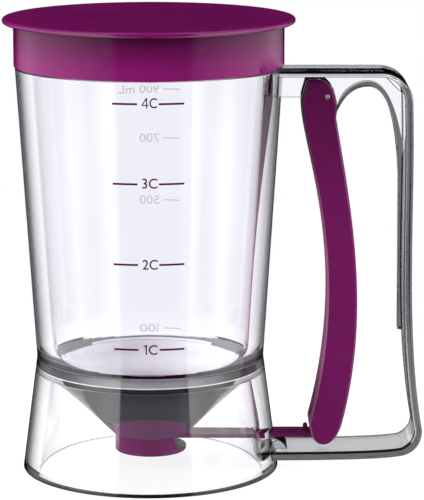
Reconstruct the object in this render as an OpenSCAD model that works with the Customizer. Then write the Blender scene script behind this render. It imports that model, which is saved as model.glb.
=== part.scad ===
// Batter dispenser: a clear tapered jug on a flared stand, with a funnel in its
// waist, a slide valve under the funnel and a squeeze lever inside a D-shaped
// handle. The lid pushes on and lifts off.
// Origin: centre of the foot ring, on the table. +Z up, +X towards the handle.

/* [Jug] */
// Outer radius of the waist, where jug and stand meet
waist_r = 47.5; // [46:0.5:50]
// Height of the waist above the table
waist_z = 47.75; // [47:0.25:52]
// Outer radius just under the lid
shoulder_r = 55.35; // [54:0.25:58]
// Height of the tapered wall, waist to lid
shoulder_rise = 122; // [118:1:130]
// Height of the neck that the lid grips
neck_h = 18; // [14:0.25:20]
// Thickness of the clear walls of jug and stand
wall = 6.9; // [6:0.1:7.2]
// Height over which the jug's inside curves in to the funnel
bowl_h = 9; // [6:1:20]

/* [Stand] */
// Outer radius of the foot
foot_r = 53.8; // [52:0.2:57]
// Rounding of the foot's edges
foot_round = 0.7; // [0.3:0.1:0.9]
// Thickness of the stand's wall beside the funnel's flange
seat_wall = 2.5; // [2:0.1:3]

/* [Lid] */
// Thickness of the lid's top disc
lid_disc_t = 2.2; // [1.6:0.1:3]
// How far the disc stands out past the lid's skirt
lid_rim = 4.55; // [3:0.25:6]
// How far the skirt stands out past the jug's wall
lid_step = 0.5; // [0.3:0.05:0.7]
// Thickness of the skirt
lid_wall = 1.4; // [1.2:0.1:1.6]
// Clearance between skirt and neck
lid_gap = 0.3; // [0.2:0.05:0.4]
// Depth of the ring that centres the lid inside the neck
lid_plug_h = 5; // [3:0.5:8]

/* [Funnel] */
// Height of the flange on the funnel's edge
flange_h = 3.5; // [3:0.1:4]
// Width of the flat ledge inside the waist
ledge_w = 6.9; // [5:0.1:8]
// Thickness of the cone, measured level
cone_wall = 4.5; // [3.5:0.1:5]
// Thickness of the floor round the outlet
floor_t = 2.2; // [1.6:0.1:3]
// Radius of the outlet
outlet_r = 8; // [6:0.25:9]

/* [Valve] */
// Height of the valve plate's top above the table
valve_top_z = 14.6; // [13.5:0.1:16]
// Thickness of the valve plate
valve_t = 1.6; // [1.4:0.1:2]
// Radius of the disc that closes the outlet
valve_disc_r = 10.2; // [9.8:0.1:11]
// Width of the strip that the lever pulls
strip_w = 12; // [8:0.5:13]
// Running gap above and below the plate
slide_gap = 0.15; // [0.1:0.05:0.3]
// Gap round the strip in its slots
slot_gap = 0.6; // [0.4:0.1:1]
// Radius of the two pegs on the strip
peg_r = 1; // [0.8:0.1:1.2]
// Height of the pegs above the strip
peg_h = 3.4; // [2.5:0.1:4]

/* [Nozzle cap] */
// Height of the cap's mouth above the table
cap_z = 7.1; // [6:0.1:8]
// Outer radius of the cap
cap_r = 14.9; // [14.8:0.1:16]
// Thickness of the cap's wall
cap_wall = 1.6; // [1.4:0.1:1.8]
// Thickness of the cap's floor
cap_floor = 1.8; // [1.4:0.1:2.2]
// Thickness of the silicone washer
seal_t = 0.85; // [0.6:0.05:1.2]

/* [Handle] */
// Reach of the grip's outer face from the jug's axis
grip_x = 108.4; // [107:0.5:116]
// How far the handle's top face lies below the jug's shoulder
handle_drop = 1.15; // [0.4:0.05:2]
// Height of the lower arm's underside at the stand
arm_z = 4.6; // [4:0.1:5]
// Outward sweep of the grip at its foot
foot_sweep = 5.5; // [3:0.5:7]
// Width of the handle's flange
handle_w = 27; // [25:1:30]
// Radius of the upper corner
corner_r = 13; // [10:0.5:14]
// Thickness of the top arm
top_t = 2.2; // [1.8:0.1:2.6]
// Thickness of the grip
grip_t = 3.4; // [3:0.1:4]
// Thickness of the lower arm
arm_t = 3.6; // [3:0.1:4]
// Thickness of the web that carries the hinge pin
web_t = 4; // [3:0.25:4.4]
// Width of the band along the arch
band_w = 8; // [6:0.5:10]
// Thickness of the band along the arch
band_t = 2; // [1.5:0.1:2.5]
// Height of the rib's lower end, inside the grip
rib_z = 59; // [50:1:75]
// How far the rib stands out from the grip
rib_t = 2.2; // [2:0.1:3.2]

/* [Lever] */
// Distance of the hinge pin from the jug's axis
pivot_x = 73.3; // [73:0.1:75]
// Depth of the hinge pin below the handle's top face
pivot_drop = 10.6; // [10.4:0.1:12]
// Radius of the steel hinge pin
pin_r = 1.2; // [1:0.1:1.4]
// Radial clearance of the pin in the web
pin_gap = 0.05; // [0.03:0.01:0.08]
// Depth of the lever's head, from the jug's side to the grip's
lever_depth = 14.4; // [13.6:0.1:15]
// Width of the lever
lever_w = 19.6; // [19:0.2:22]
// Thickness of the lever's two cheeks
cheek_t = 2; // [1.6:0.1:2.2]
// Thickness of the lever's closed wall
lever_wall = 2.2; // [1.8:0.1:2.4]
// Height of the lever's tip above the table
lever_tip_z = 10.5; // [9.8:0.1:11.5]

/* [Spring] */
// Thickness of the spring's wire
wire_d = 1; // [0.8:0.1:1.1]
// Radius of the coil, to the wire's middle
coil_r = 3; // [2.6:0.1:3.3]
// Number of turns
coil_turns = 3; // [2:1:3]

/* [Hidden] */
$fn = 96;

eps = 0.01;         // overlap that joins two features of one piece
bond_gap = 0.05;    // glue line between bonded pieces
big = 200;          // longer than the whole part, for cuts

clear_plastic = [0.88, 0.88, 0.92, 0.45];
smoke_plastic = [0.42, 0.42, 0.45, 0.8];
purple_plastic = [0.40, 0.07, 0.32];
silicone = [0.85, 0.85, 0.86];
steel = [0.7, 0.7, 0.72];

// Jug and stand
shoulder_z = waist_z + shoulder_rise;
rim_z = shoulder_z + neck_h;
bore_r = shoulder_r - wall;
waist_in = waist_r - wall;
seat_in = waist_r - seat_wall;
taper = (shoulder_r - waist_r) / shoulder_rise;
flare = (foot_r - waist_r) / waist_z;

// Lid
lid_skirt_r = shoulder_r + lid_step;
lid_disc_r = lid_skirt_r + lid_rim;
neck_r = lid_skirt_r - lid_wall - lid_gap;
lid_low = shoulder_z + lid_gap;
lid_under = rim_z + bond_gap;
lid_top = lid_under + lid_disc_t;
plug_r = bore_r - lid_gap;

// Funnel: a 45-degree cone whose outer face meets the flange's lower edge
spigot_h = 0.75;
flange_r = seat_in - bond_gap;
flange_top = waist_z - spigot_h - bond_gap;
flange_low = flange_top - flange_h;
seat_lip = 0.5;
cone_shift = flange_r - seat_lip - flange_low;
ledge_r = flange_r - ledge_w;
ledge_step = 0.4;
funnel_floor = valve_top_z + slide_gap;
floor_top = funnel_floor + floor_t;
cone_low_r = funnel_floor + cone_shift;

// Valve and cap
valve_low_z = valve_top_z - valve_t;
window_w = 2 * (valve_disc_r + slot_gap);
seal_top = valve_low_z - slide_gap;
seal_low = seal_top - seal_t;
cap_in = cap_r - cap_wall;
neck_fit = 0.05;
spout_t = 1.5;
spout_r = cap_in - neck_fit;
seat_w = 1.9;
cap_top = funnel_floor - neck_fit;
slot_high = valve_top_z + slot_gap;
guide_top = valve_low_z - 2 * slide_gap;

// Handle: its outline is one line, drawn twice with different insets
handle_top = shoulder_z - handle_drop;
grip_low = arm_z + 13.4;
grip_low_x = grip_x + foot_sweep;
arm_bend_x = grip_x - 3.4;
arm_rise = 2;
handle_in_z = handle_top - top_t;

// Lever: its edges are set out from the hinge pin, as shares of its length
pivot_z = handle_top - pivot_drop;
lever_len = pivot_z - lever_tip_z;
cheek_y = lever_w / 2 - cheek_t;
boss_r = 5.5;
web_low = pivot_z - 1.4;
lever_wall_top = web_low - 0.4;

// Strip and pegs: a peg on each side of the lever's wall
tip_left = pivot_x - lever_depth * 0.47;
peg_near = tip_left - 1.2;
peg_far = tip_left + lever_wall + 4;
strip_end = peg_far + 2.2;

// Spring: the moving leg lies on the lever's wall, the fixed leg on a stud
spring_pitch = wire_d * 1.15;
coil_y = web_t / 2 + wire_d / 2 + 0.25;
leg_x = pivot_x - coil_r;
stud_r = 1;
stud_x = leg_x - wire_d / 2 - stud_r - 0.05;
stud_z = pivot_z + 4.6;
fixed_leg = 6;
moving_leg = 11;

// ---- curves -----------------------------------------------------------------

function mix(a, b, t) = a + (b - a) * t;

// Points of a cubic curve from p0 to p3, drawn towards p1 and p2
function bend(p0, p1, p2, p3, n = 12) = [
    for (i = [0:n])
        let (t = i / n, u = 1 - t)
        u * u * u * p0 + 3 * u * u * t * p1 + 3 * u * t * t * p2 + t * t * t * p3
];

// Points of an elliptical arc
function arc(c, rx, ry, a0, a1, n = 12) = [
    for (i = [0:n])
        let (a = mix(a0, a1, i / n))
        [c[0] + rx * cos(a), c[1] + ry * sin(a)]
];

function shift(points, d) = [for (p = points) p + d];
function reverse(points) = [for (i = [len(points) - 1:-1:0]) points[i]];

// Point set out from the hinge pin: share of the depth across, share of the length down
function at_lever(across, down) = [pivot_x + across * lever_depth, pivot_z - down * lever_len];

// A plate in the XZ plane, centred on Y
module plate(points, w) {
    rotate([90, 0, 0])
        linear_extrude(w, center = true)
            polygon(points);
}

// A rod along Y, centred on the XZ point
module rod(x, z, r, y0, y1) {
    translate([x, y0, z])
        rotate([-90, 0, 0])
            cylinder(h = y1 - y0, r = r, $fn = 48);
}

// A block given by its low and high corners
module block(low, high) {
    translate(low) cube(high - low);
}

// ---- jug, stand and lid -------------------------------------------------------

// Solid inside the outer faces of jug and stand, grown by g
module jug_envelope(g) {
    rotate_extrude()
        polygon([
            [0, -eps],
            [foot_r + g, -eps],
            [waist_r + g, waist_z],
            [shoulder_r + g, shoulder_z],
            [0, shoulder_z]
        ]);
}

module container() {
    rim_round = 1.2;
    mouth_r = ledge_r + ledge_step;
    color(clear_plastic)
        rotate_extrude()
            polygon(concat(
                [
                    [mouth_r, waist_z - spigot_h],
                    [seat_in - bond_gap, waist_z - spigot_h],
                    [seat_in - bond_gap, waist_z],
                    [waist_r, waist_z],
                    [shoulder_r, shoulder_z],
                    [neck_r, shoulder_z]
                ],
                arc([neck_r - rim_round, rim_z - rim_round], rim_round, rim_round, 0, 90, 6),
                arc([bore_r + rim_round, rim_z - rim_round], rim_round, rim_round, 90, 180, 6),
                [[bore_r, shoulder_z]],
                bend(
                    [waist_in + taper * bowl_h, waist_z + bowl_h],
                    [waist_in + taper * bowl_h * 0.5, waist_z + bowl_h * 0.5],
                    [mouth_r + 2, waist_z + bowl_h * 0.2],
                    [mouth_r, waist_z - spigot_h],
                    10
                )
            ));
}

module base_skirt() {
    foot_in = foot_r - wall;
    foot_edge = foot_r - flare * foot_round;
    bead_z = flange_low - bond_gap;
    bead_r = flange_r - seat_lip + bond_gap;
    // the 45-degree seat under the cone ends on the wall's inner face
    seat_shift = cone_shift + 2 * bond_gap;
    seat_z = (waist_in + flare * waist_z - seat_shift) / (1 + flare);
    guide_in = foot_in - 3.5;
    guide_t = 2.4;
    guide_foot = 3;
    guide_w = strip_w + 4;
    color(clear_plastic)
        difference() {
            union() {
                rotate_extrude()
                    polygon(concat(
                        [[waist_r, waist_z - bond_gap], [seat_in, waist_z - bond_gap]],
                        [
                            [seat_in, bead_z],
                            [bead_r, bead_z],
                            [seat_z + seat_shift, seat_z]
                        ],
                        arc([foot_in + foot_round, foot_round], foot_round, foot_round, 180, 270, 6),
                        arc([foot_edge - foot_round, foot_round], foot_round, foot_round, 270, 360, 6)
                    ));
                // wedge inside the wall that the strip slides over
                intersection() {
                    plate([
                        [guide_in, guide_top],
                        [guide_in, guide_top - guide_t],
                        [foot_in, guide_foot],
                        [foot_r, guide_foot],
                        [foot_r, guide_top]
                    ], guide_w);
                    jug_envelope(-bond_gap);
                }
            }
            // slot for the strip
            block(
                [foot_in - 6, -strip_w / 2 - slot_gap, guide_top],
                [foot_r + 1, strip_w / 2 + slot_gap, slot_high]
            );
        }
}

module lid() {
    plug_t = 1.5;
    plug_edge = 0.5;
    skirt_edge = 0.5;
    cove = 0.4;
    rim_round = lid_disc_t / 2;
    color(purple_plastic)
        rotate_extrude()
            polygon(concat(
                [[0, lid_under], [plug_r - plug_t, lid_under]],
                [
                    [plug_r - plug_t, lid_under - lid_plug_h],
                    [plug_r - plug_edge, lid_under - lid_plug_h],
                    [plug_r, lid_under - lid_plug_h + 2 * plug_edge],
                    [plug_r, lid_under],
                    [neck_r + lid_gap, lid_under],
                    [neck_r + lid_gap, lid_low + cove],
                    [neck_r + 2 * lid_gap, lid_low]
                ],
                arc([lid_skirt_r - skirt_edge, lid_low + skirt_edge], skirt_edge, skirt_edge, 270, 360, 4),
                [[lid_skirt_r, lid_under - cove], [lid_skirt_r + cove, lid_under]],
                arc([lid_disc_r - rim_round, lid_under + rim_round], rim_round, rim_round, -90, 90, 12),
                [[0, lid_top]]
            ));
}

// ---- funnel, valve and cap ----------------------------------------------------

module funnel() {
    inner_shift = cone_shift - cone_wall;
    lip_z = ledge_r - inner_shift;
    spout_low = cap_z + cap_floor + 2 * slide_gap;
    color(smoke_plastic)
        difference() {
            union() {
                rotate_extrude()
                    polygon([
                        [outlet_r, funnel_floor],
                        [cone_low_r, funnel_floor],
                        [flange_r - seat_lip, flange_low],
                        [flange_r, flange_low],
                        [flange_r, flange_top],
                        [ledge_r, flange_top],
                        [ledge_r, lip_z],
                        [floor_top + inner_shift, floor_top],
                        [outlet_r, floor_top]
                    ]);
                // spout that the nozzle cap pushes over
                difference() {
                    translate([0, 0, spout_low])
                        cylinder(h = funnel_floor - spout_low + eps, r = spout_r);
                    translate([0, 0, spout_low - 1])
                        cylinder(h = funnel_floor - spout_low + 1, r = spout_r - spout_t);
                }
            }
            // way out for the valve plate
            block([0, -window_w / 2, 0], [big, window_w / 2, funnel_floor]);
        }
}

module nozzle_cap() {
    edge = 0.5;
    color(purple_plastic)
        difference() {
            union() {
                difference() {
                    rotate_extrude()
                        polygon(concat(
                            [[0, cap_z]],
                            arc([cap_r - edge, cap_z + edge], edge, edge, 270, 360, 4),
                            [[cap_r, cap_top], [0, cap_top]]
                        ));
                    translate([0, 0, cap_z + cap_floor])
                        cylinder(h = big, r = cap_in);
                    // window for the valve plate
                    block([0, -window_w / 2, cap_z + cap_floor], [big, window_w / 2, big]);
                }
                // seat that lifts the washer against the plate
                translate([0, 0, cap_z + cap_floor - eps])
                    cylinder(h = seal_low - cap_z - cap_floor + eps, r = outlet_r + seat_w);
            }
            translate([0, 0, cap_z - 1])
                cylinder(h = big, r = outlet_r);
        }
}

module outlet_seal() {
    color(silicone)
        translate([0, 0, seal_low])
            difference() {
                cylinder(h = seal_t, r = outlet_r + seat_w);
                translate([0, 0, -1])
                    cylinder(h = seal_t + 2, r = outlet_r);
            }
}

module peg(x) {
    translate([x, 0, valve_top_z - eps]) {
        cylinder(h = peg_h - peg_r + eps, r = peg_r, $fn = 32);
        translate([0, 0, peg_h - peg_r])
            sphere(r = peg_r, $fn = 32);
    }
}

module valve_slide() {
    end_r = 2;
    color(purple_plastic) {
        translate([0, 0, valve_low_z])
            cylinder(h = valve_t, r = valve_disc_r);
        block([0, -strip_w / 2, valve_low_z], [strip_end - end_r, strip_w / 2, valve_top_z]);
        block(
            [strip_end - end_r - eps, -strip_w / 2 + end_r, valve_low_z],
            [strip_end, strip_w / 2 - end_r, valve_top_z]
        );
        for (side = [-1, 1])
            translate([strip_end - end_r, side * (strip_w / 2 - end_r), valve_low_z])
                cylinder(h = valve_t, r = end_r, $fn = 32);
        peg(peg_near);
        peg(peg_far);
    }
}

// ---- handle -------------------------------------------------------------------

// Outline of the D, inset by its thickness at the top, the grip and the arm
function handle_line(top, grip, arm) =
    let (
        c = [grip_x - corner_r, handle_top - corner_r],
        low = [grip_low_x - grip, grip_low],
        bend_point = [arm_bend_x, arm_z + arm_rise + arm],
        d = [-grip, 0],
        up = [0, arm]
    )
    concat(
        [[waist_in, handle_top - top]],
        arc(c, corner_r - grip, corner_r - top, 90, 0, 10),
        bend(
            [grip_x, c[1]] + d,
            [grip_x + 1.6, mix(c[1], grip_low, 0.33)] + d,
            [grip_x - 2.4, mix(c[1], grip_low, 0.68)] + d,
            low
        ),
        bend(
            low,
            low + [0.4, -5.5 + arm / 2],
            bend_point + [6 - grip, 0.9],
            bend_point,
            8
        ),
        bend(
            bend_point,
            bend_point + [-7, -1.2],
            [mix(waist_r, grip_x, 0.62), arm_z + 0.2] + up,
            [waist_in, arm_z] + up,
            6
        )
    );

// Opening's edge: from the hinge boss over the arch and down the rib in the grip
arch_foot = [pivot_x + 4.1, pivot_z - 7.3];
arch_top = [mix(pivot_x, grip_x, 0.49), handle_in_z - 5];
rib_face = grip_x + 0.7 - grip_t - rib_t;
arch_end = [rib_face - 0.2, mix(grip_low, handle_top, 0.7)];
rib_foot = [rib_face + 0.2, rib_z];
arch_line = concat(
    bend(arch_foot, arch_foot + [3.1, 6.8], arch_top - [6.2, 0], arch_top, 10),
    bend(arch_top, arch_top + [9.5, 0], arch_end + [-0.8, 17], arch_end, 12),
    [rib_foot]
);

// The same edge one band thickness into the clear plastic
rib_root = grip_x - grip_t * 0.3;
band_line = concat(
    bend(
        arch_foot + [0.4, 2.6],
        arch_foot + [1.6, 7.6],
        arch_top + [-6.6, band_t],
        arch_top + [0, band_t],
        10
    ),
    bend(
        arch_top + [0, band_t],
        arch_top + [10.5, band_t],
        arch_end + [band_t - 0.8, 20],
        [rib_root, arch_end[1] - 4],
        12
    ),
    [[rib_root, rib_z]]
);

module handle_frame() {
    gusset_x = foot_r - 2.6;
    gusset_z = arm_z + 1;
    gusset_r = 7;
    gusset_root = 4;
    color(clear_plastic)
        difference() {
            union() {
                // D-shaped flange
                plate(
                    concat(handle_line(0, 0, 0), reverse(handle_line(top_t, grip_t, arm_t))),
                    handle_w
                );
                // web from the jug to the arch
                plate(
                    concat(
                        [
                            [waist_in, handle_top - top_t / 2],
                            [waist_in, web_low],
                            [pivot_x, web_low],
                            arch_foot + [-3, 2.4]
                        ],
                        arch_line,
                        [
                            [rib_root, rib_z],
                            [rib_root, handle_top - corner_r],
                            [grip_x - corner_r, handle_top - top_t / 2]
                        ]
                    ),
                    web_t
                );
                rod(pivot_x, pivot_z, boss_r, -web_t / 2, web_t / 2);
                // band along the arch
                plate(concat(arch_line, reverse(band_line)), band_w);
                // stud that holds the spring's fixed leg
                rod(stud_x, stud_z, stud_r, 0, coil_y + spring_pitch * coil_turns + wire_d / 2);
                // quarter-round gusset under the strip
                plate(
                    concat(
                        [[gusset_x - gusset_root, gusset_z]],
                        arc([gusset_x, gusset_z], gusset_r, guide_top - gusset_z, 0, 90, 10),
                        [[gusset_x - gusset_root, guide_top]]
                    ),
                    strip_w + 2
                );
            }
            jug_envelope(bond_gap);
            rod(pivot_x, pivot_z, pin_r + pin_gap, -big / 2, big / 2);
            // the strip runs over the lower root
            block(
                [waist_in, -strip_w / 2 - slot_gap, guide_top],
                [foot_r + 10, strip_w / 2 + slot_gap, slot_high]
            );
        }
}

// ---- lever, pin and spring ------------------------------------------------------

// Edge nearest the jug, from the top of the closed wall to the tip
lever_left = concat(
    bend(at_lever(-0.722, 0), at_lever(-0.875, 0.14), at_lever(0.861, 0.435), at_lever(-0.465, 0.937), 20),
    bend(at_lever(-0.465, 0.937), at_lever(-0.431, 0.975), at_lever(-0.285, 1), at_lever(-0.049, 1), 8)
);

// Edge nearest the grip, from the tip up to the head
lever_right = concat(
    bend(at_lever(-0.049, 1), at_lever(0.243, 1), at_lever(0.424, 0.967), at_lever(0.507, 0.937), 8),
    bend(at_lever(0.507, 0.937), at_lever(1.347, 0.611), at_lever(0.694, 0.308), at_lever(0.257, 0.06), 20)
);

// Head, over the hinge pin
lever_head = concat(
    bend(at_lever(0.257, 0.06), at_lever(0.375, -0.01), at_lever(0.035, -0.046), at_lever(-0.243, -0.048), 10),
    [at_lever(-0.521, -0.048), at_lever(-0.604, -0.042)]
);

module lever() {
    wall_line = [for (p = lever_left) if (p[1] <= lever_wall_top) p];
    top_left = [wall_line[0][0], lever_wall_top];
    edge_line = concat([top_left], wall_line);
    pin_boss_r = pin_r + 1.4;
    pin_boss_h = 0.4;
    color(purple_plastic)
        difference() {
            union() {
                for (side = [-1, 1])
                    translate([0, side * (cheek_y + cheek_t / 2), 0])
                        plate(concat(lever_left, lever_right, lever_head), cheek_t);
                // closed wall on the jug's side
                plate(
                    concat(edge_line, reverse(shift(edge_line, [lever_wall, 0]))),
                    lever_w
                );
                // bosses that hold the pin beside the web
                for (side = [-1, 1])
                    rod(
                        pivot_x,
                        pivot_z,
                        pin_boss_r,
                        side > 0 ? cheek_y - pin_boss_h : -cheek_y - eps,
                        side > 0 ? cheek_y + eps : pin_boss_h - cheek_y
                    );
            }
            rod(pivot_x, pivot_z, pin_r, -big / 2, big / 2);
            // notch that straddles the strip, between the pegs
            block(
                [tip_left - 8, -strip_w / 2 - slot_gap, 0],
                [peg_far + 4, strip_w / 2 + slot_gap, slot_high]
            );
        }
}

module lever_pin() {
    chamfer = 0.3;
    length = lever_w;
    color(steel)
        translate([pivot_x, -length / 2, pivot_z])
            rotate([-90, 0, 0])
                rotate_extrude($fn = 48)
                    polygon([
                        [0, 0],
                        [pin_r - chamfer, 0],
                        [pin_r, chamfer],
                        [pin_r, length - chamfer],
                        [pin_r - chamfer, length],
                        [0, length]
                    ]);
}

// Middle line of the wire: up the moving leg, round the coil, up the fixed leg
spring_steps = 18;
spring_line = concat(
    [
        for (i = [0:3])
            let (t = i / 4)
            [mix(leg_x - 3.5, leg_x, t), coil_y + spring_pitch * coil_turns, pivot_z - moving_leg * (1 - t)]
    ],
    [
        for (i = [0:coil_turns * spring_steps])
            let (a = 180 - 360 * i / spring_steps)
            [
                pivot_x + coil_r * cos(a),
                coil_y + spring_pitch * (coil_turns - i / spring_steps),
                pivot_z + coil_r * sin(a)
            ]
    ],
    [
        for (i = [1:3])
            [leg_x, coil_y, pivot_z + fixed_leg * i / 3]
    ]
);

// Round wire along a line that never runs along Y
module wire(line, d, sides = 8) {
    n = len(line);
    function along(i) =
        let (v = line[min(i + 1, n - 1)] - line[max(i - 1, 0)])
        v / norm(v);
    function ring(i) =
        let (
            t = along(i),
            side = cross([0, 1, 0], t),
            u = side / norm(side),
            v = cross(t, u)
        )
        [for (k = [0:sides - 1]) line[i] + d / 2 * (u * cos(360 * k / sides) + v * sin(360 * k / sides))];
    points = [for (i = [0:n - 1], p = ring(i)) p];
    sleeve = [
        for (i = [0:n - 2], k = [0:sides - 1])
            let (a = i * sides + k, b = i * sides + (k + 1) % sides)
            [a, b, b + sides, a + sides]
    ];
    ends = [
        [for (k = [sides - 1:-1:0]) k],
        [for (k = [0:sides - 1]) (n - 1) * sides + k]
    ];
    polyhedron(points, concat(sleeve, ends), convexity = 6);
}

module return_spring() {
    color(steel)
        wire(spring_line, wire_d);
}

lid();
container();
base_skirt();
funnel();
outlet_seal();
nozzle_cap();
valve_slide();
handle_frame();
lever();
lever_pin();
return_spring();
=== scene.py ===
"""Looks of the batter dispenser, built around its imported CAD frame.

Outlines are drawn in millimetres, in the frame's own axes, and turned into
metres when a mesh is made. Radii and heights that the frame holds are read
from its boxes; the rest are the part's own sizes.
"""

from math import copysign, cos, dist, pi, radians, sin, tan

import bmesh
import bpy
from mathutils import Matrix, Vector


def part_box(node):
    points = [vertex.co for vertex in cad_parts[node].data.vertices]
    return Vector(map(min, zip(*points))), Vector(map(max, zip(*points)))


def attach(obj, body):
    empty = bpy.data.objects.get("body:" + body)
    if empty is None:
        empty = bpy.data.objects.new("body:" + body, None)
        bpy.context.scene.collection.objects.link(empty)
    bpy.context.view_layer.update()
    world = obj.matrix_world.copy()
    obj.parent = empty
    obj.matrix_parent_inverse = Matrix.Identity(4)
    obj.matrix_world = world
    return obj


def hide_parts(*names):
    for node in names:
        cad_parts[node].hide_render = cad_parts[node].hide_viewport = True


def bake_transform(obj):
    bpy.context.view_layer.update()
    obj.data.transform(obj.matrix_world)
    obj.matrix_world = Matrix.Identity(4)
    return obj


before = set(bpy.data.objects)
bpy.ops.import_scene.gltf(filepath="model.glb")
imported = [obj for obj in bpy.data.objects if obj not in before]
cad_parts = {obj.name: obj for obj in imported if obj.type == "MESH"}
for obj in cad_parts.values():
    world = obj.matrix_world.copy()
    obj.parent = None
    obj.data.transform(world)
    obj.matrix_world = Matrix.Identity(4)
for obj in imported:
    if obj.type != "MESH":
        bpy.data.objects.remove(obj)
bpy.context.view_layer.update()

MM = 0.001
ROUND = 256      # segments of a full turn
EDGE = 5         # segments of a rounded edge


# ---- sizes ----

def low(cad_node):
    """Lowest corner of a CAD node's box, in millimetres."""
    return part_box(cad_node)[0] / MM


def high(cad_node):
    """Highest corner of a CAD node's box, in millimetres."""
    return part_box(cad_node)[1] / MM


# Jug and stand
bond = 0.05      # glue line between bonded pieces
wall = 6.9
seat_wall = 2.5
bowl_h = 9
neck_h = 18
waist_r = 47.5
waist_in = waist_r - wall
waist_z = high("base_skirt").z + bond
seat_in = waist_r - seat_wall
spigot_z = low("container").z
shoulder_r = high("container").x
rim_z = high("container").z
shoulder_z = rim_z - neck_h
bore_r = shoulder_r - wall
taper = (shoulder_r - waist_r) / (shoulder_z - waist_z)
foot_r = 53.8
foot_in = foot_r - wall
flare = (foot_r - waist_r) / waist_z

# Lid
lid_gap = 0.3
lid_step = 0.5
lid_wall = 1.4
lid_plug_h = 5
lid_plug_t = 1.5
lid_r = high("lid").x
lid_top = high("lid").z
lid_low = low("lid").z
lid_under = rim_z + bond
lid_skirt_r = shoulder_r + lid_step
neck_r = lid_skirt_r - lid_wall - lid_gap

# Funnel
flange_h = 3.5
ledge_w = 6.9
cone_wall = 4.5
floor_t = 2.2
outlet_r = 8
spout_t = 1.5
seat_lip = 0.5
flange_r = high("funnel").x
flange_top = high("funnel").z
flange_low = flange_top - flange_h
ledge_r = flange_r - ledge_w
lobe_x = 0.6 * flange_r
cone_shift = flange_r - seat_lip - flange_low
spout_low = low("funnel").z

# Valve plate, strip and cap
slide_gap = 0.15
slot_gap = 0.6
valve_t = 1.6
strip_w = 12
strip_end = high("valve_slide").x
valve_r = -low("valve_slide").x
valve_low = low("valve_slide").z
valve_top = valve_low + valve_t
peg_r = 1
peg_h = high("valve_slide").z - valve_top
funnel_floor = valve_top + slide_gap
floor_top = funnel_floor + floor_t
cap_wall = 1.6
cap_floor = 1.8
seat_w = 1.9
cap_r = -low("nozzle_cap").x
cap_z = low("nozzle_cap").z
cap_top = high("nozzle_cap").z
seat_top = low("outlet_seal").z
spout_r = cap_r - cap_wall - bond
window_half = valve_r + slot_gap
slot_half = strip_w / 2 + slot_gap
slot_high = valve_top + slot_gap
guide_top = valve_low - 2 * slide_gap

# Handle
handle_top = high("handle_frame").z
handle_w = high("handle_frame").y * 2
grip_x = 108.4
foot_sweep = 5.5
arm_z = 4.6
grip_low = arm_z + 13.4
corner_r = 13
top_t = 2.2
grip_t = 3.4
arm_t = 3.6
web_t = 4
band_w = 8
band_t = 2
rib_z = 59
rib_t = 2.2
boss_r = 5.5

# Lever, hinge pin and spring
pin_low, pin_high = low("lever_pin"), high("lever_pin")
pivot_x = (pin_low.x + pin_high.x) / 2
pivot_z = (pin_low.z + pin_high.z) / 2
pin_r = (pin_high.x - pin_low.x) / 2
pin_gap = 0.05
lever_w = high("lever").y * 2
lever_len = pivot_z - low("lever").z
lever_depth = 14.4
cheek_t = 2
lever_wall = 2.2
web_low = pivot_z - 1.4
lever_wall_top = web_low - 0.4
tip_left = pivot_x - lever_depth * 0.47
peg_near = tip_left - 1.2
peg_far = tip_left + lever_wall + 4
wire_r = 0.5
spring_low, spring_high = low("return_spring"), high("return_spring")


# ---- outlines ----

def mix(a, b, t):
    return a + (b - a) * t


def add(p, x, z):
    return (p[0] + x, p[1] + z)


def bend(p0, p1, p2, p3, n=24):
    """Points of a cubic curve from p0 to p3, drawn towards p1 and p2."""
    points = []
    for i in range(n + 1):
        t = i / n
        u = 1 - t
        points.append(tuple(
            u ** 3 * a + 3 * u * u * t * b + 3 * u * t * t * c + t ** 3 * d
            for a, b, c, d in zip(p0, p1, p2, p3)
        ))
    return points


def arc(centre, rx, rz, start, end, n=12):
    """Points of an elliptical arc, angles in degrees."""
    turns = [radians(mix(start, end, i / n)) for i in range(n + 1)]
    return [(centre[0] + rx * cos(a), centre[1] + rz * sin(a)) for a in turns]


def area(points):
    """Signed area of a closed outline."""
    total = 0
    for (ax, az), (bx, bz) in zip(points, points[1:] + points[:1]):
        total += ax * bz - bx * az
    return total / 2


def thin(points, least=0.02):
    """A closed outline without points that nearly coincide."""
    kept = []
    for p in points:
        if not kept or dist(p, kept[-1]) > least:
            kept.append(p)
    if dist(kept[0], kept[-1]) <= least:
        kept.pop()
    return kept


def rounded(corners, n=EDGE):
    """A closed outline whose corners (x, z, radius) are rounded; radius may be left out."""
    most_of_side = 0.48
    points = []
    for i, (x, z, *given) in enumerate(corners):
        here = Vector((x, z))
        if not given:
            points.append(tuple(here))
            continue
        to_prev = Vector(corners[i - 1][:2]) - here
        to_next = Vector(corners[(i + 1) % len(corners)][:2]) - here
        half = to_prev.angle(to_next) / 2
        reach = min(given[0] / tan(half), most_of_side * to_prev.length,
                    most_of_side * to_next.length)
        radius = reach * tan(half)
        middle = (to_prev.normalized() + to_next.normalized()).normalized()
        centre = here + middle * (radius / sin(half))
        spoke = here + to_prev.normalized() * reach - centre
        side = to_prev.x * to_next.y - to_prev.y * to_next.x
        turn = copysign(pi - 2 * half, side)
        for k in range(n + 1):
            c, s = cos(turn * k / n), sin(turn * k / n)
            turned = Vector((spoke.x * c + spoke.y * s, -spoke.x * s + spoke.y * c))
            points.append(tuple(centre + turned))
    return points


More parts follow.
